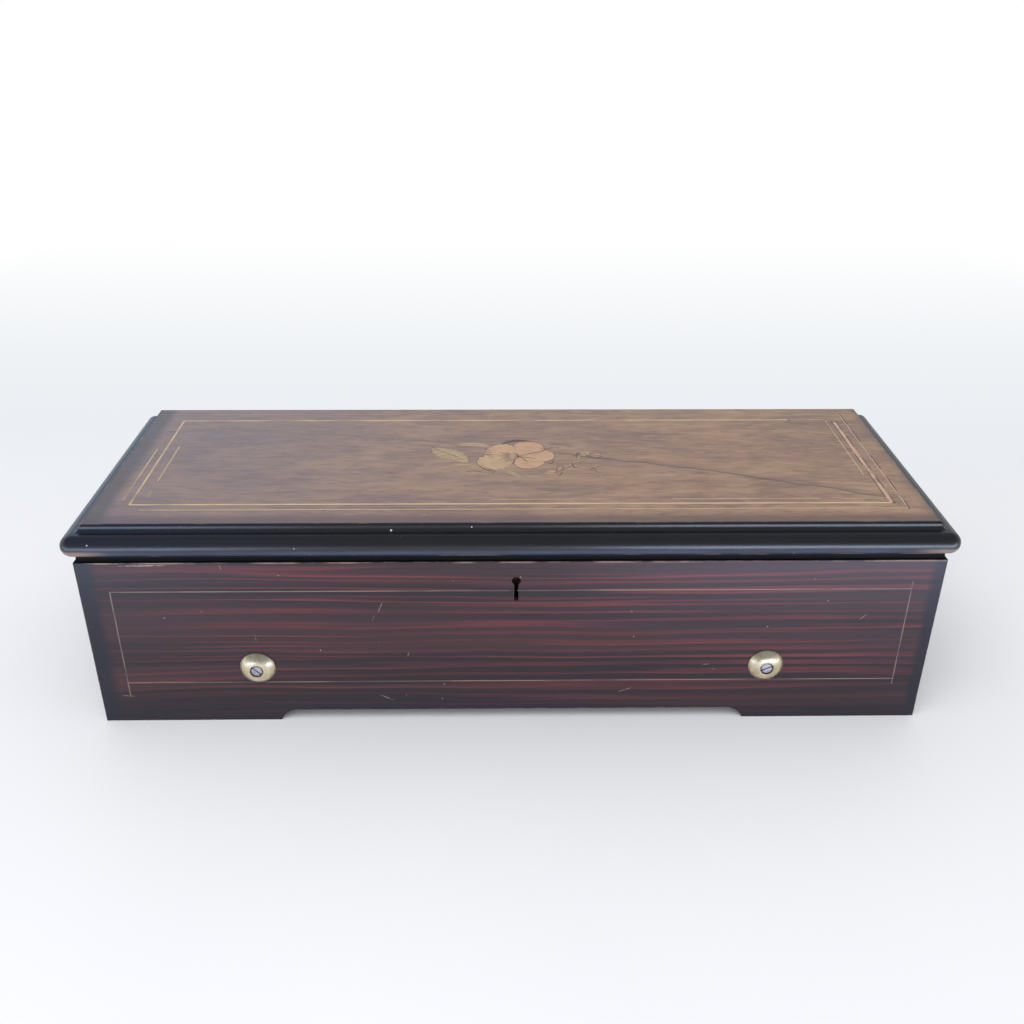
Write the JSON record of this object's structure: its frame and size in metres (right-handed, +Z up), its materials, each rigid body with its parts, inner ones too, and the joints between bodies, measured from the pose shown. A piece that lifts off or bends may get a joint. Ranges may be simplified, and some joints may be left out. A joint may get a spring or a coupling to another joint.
{
  "type": "cylinder music box",
  "caption": "Long veneered cylinder music box with an inlaid hinged lid, lock and inner glass lid over a lever-wound spring, pinned cylinder, steel comb and air-brake governor.",
  "frame": {"origin": "bottom centre of the closed box, on the surface it stands on", "axes": "+X right along the front, +Y to the back, +Z up"},
  "size_m": [0.49, 0.176, 0.1294],
  "materials": {
    "front_veneer": "grained dark veneer under worn polish",
    "ebonised_wood": "black polish, worn at the edges",
    "lid_veneer": "veneer under faded glossy polish",
    "inner_wood": "plain softwood and beech, oiled",
    "turned_wood": "black stained hardwood, polished",
    "brass": "lacquered and slightly tarnished",
    "steel": "ground and polished",
    "iron": "bronze paint on cast iron",
    "glass": "clear old sheet glass",
    "paper": "aged plain card",
    "lead": "dull grey lead"
  },
  "bodies": {
    "case": {"case_front": "front_veneer", "case_back": "ebonised_wood", "case_ends": "ebonised_wood", "case_floor": "inner_wood", "partitions": "inner_wood", "bed_bearers": "inner_wood", "glass_batten": "inner_wood", "case_washers": "brass", "case_screws": "steel", "lock_case": "brass", "hinge_lower_leaves": "brass", "hinge_pins": "steel", "glass_hinge_fixed": "brass", "bedplate": "iron", "foot_screws": "steel", "arbor_bearings": "brass", "comb": "steel", "comb_base": "brass", "comb_screws": "steel", "comb_weights": "lead", "barrel_brackets": "iron", "barrel_arbor": "steel", "ratchet_wheel": "steel", "click_spring": "steel", "lever_stop": "brass", "governor_frame": "brass", "governor_cock": "brass", "control_bracket": "brass"},
    "lid": {"lid_panel": "lid_veneer", "moulding_front": "ebonised_wood", "moulding_sides": "ebonised_wood", "lid_back_rail": "ebonised_wood", "hinge_upper_leaves": "brass", "link_plate": "brass", "tune_card": "paper"},
    "glass_lid": {"glass_frame": "ebonised_wood", "glass_pane": "glass", "glass_knob": "brass", "glass_hinge_moving": "brass"},
    "arbor": {"cylinder_arbor": "steel", "drive_pinion": "steel", "great_wheel": "brass"},
    "cylinder": {"cylinder_tube": "brass", "cylinder_caps": "brass"},
    "barrel": {"spring_barrel": "brass", "barrel_cover": "brass", "mainspring": "steel"},
    "first_train": {"first_arbor": "steel", "first_wheel": "brass"},
    "second_train": {"second_arbor": "steel", "second_wheel": "brass"},
    "fly": {"fly_worm": "steel", "fly_vanes": "brass"},
    "winder": {"winding_lever": "brass", "winding_grip": "turned_wood"},
    "pawl": {"click": "steel"},
    "start": {"start_lever": "brass"},
    "change": {"change_lever": "brass"},
    "bolt": {"lock_bolt": "steel"}
  },
  "joints": [
    {"name": "lid_hinge", "type": "hinge", "parent": "case", "child": "lid", "pos_m": [0, 0.0857, 0.1101], "axis": [-1, 0, 0], "range_deg": [0, 100]},
    {"name": "glass_lid_hinge", "type": "hinge", "parent": "case", "child": "glass_lid", "pos_m": [0, 0.06475, 0.10715], "axis": [-1, 0, 0], "range_deg": [0, 90]},
    {"name": "arbor_spin", "type": "hinge", "parent": "case", "child": "arbor", "pos_m": [0, 0.022, 0.073], "axis": [1, 0, 0], "continuous": true},
    {"name": "cylinder_shift", "type": "slide", "parent": "arbor", "child": "cylinder", "axis": [1, 0, 0], "range_m": [0, 0.0024]},
    {"name": "barrel_spin", "type": "hinge", "parent": "case", "child": "barrel", "pos_m": [0, -0.00793, 0.071], "axis": [1, 0, 0], "continuous": true, "deforming": ["mainspring"]},
    {"name": "first_train_spin", "type": "hinge", "parent": "case", "child": "first_train", "pos_m": [0, -0.0045, 0.0653], "axis": [1, 0, 0], "continuous": true},
    {"name": "second_train_spin", "type": "hinge", "parent": "case", "child": "second_train", "pos_m": [0, -0.02151, 0.05941], "axis": [1, 0, 0], "continuous": true},
    {"name": "fly_spin", "type": "hinge", "parent": "case", "child": "fly", "pos_m": [0.1275, -0.03151, 0.06], "axis": [0, 0, 1], "continuous": true},
    {"name": "winding_lever_hinge", "type": "hinge", "parent": "case", "child": "winder", "pos_m": [-0.1975, -0.00793, 0.071], "axis": [-1, 0, 0], "range_deg": [0, 75]},
    {"name": "click_hinge", "type": "hinge", "parent": "case", "child": "pawl", "pos_m": [-0.166, 0.00132, 0.08702], "axis": [-1, 0, 0], "range_deg": [0, 10], "stiffness_Nm_per_rad": 0.004, "springref_deg": -11.46, "deforming": ["click_spring"]},
    {"name": "start_lever_hinge", "type": "hinge", "parent": "case", "child": "start", "pos_m": [0.172, -0.03, 0.0847], "axis": [0, 0, 1], "range_deg": [0, 12]},
    {"name": "change_lever_hinge", "type": "hinge", "parent": "case", "child": "change", "pos_m": [0.172, 0.025, 0.0847], "axis": [0, 0, 1], "range_deg": [0, 12]},
    {"name": "lock_bolt_slide", "type": "slide", "parent": "case", "child": "bolt", "axis": [1, 0, 0], "range_m": [0, 0.005]}
  ],
  "couplings": [
    {"joint": "glass_lid_hinge", "follows": "lid_hinge", "ratio": 0.9},
    {"joint": "barrel_spin", "follows": "arbor_spin", "ratio": -0.25},
    {"joint": "first_train_spin", "follows": "arbor_spin", "ratio": -6.6667},
    {"joint": "second_train_spin", "follows": "arbor_spin", "ratio": 33.333},
    {"joint": "fly_spin", "follows": "arbor_spin", "ratio": 1000}
  ]
}
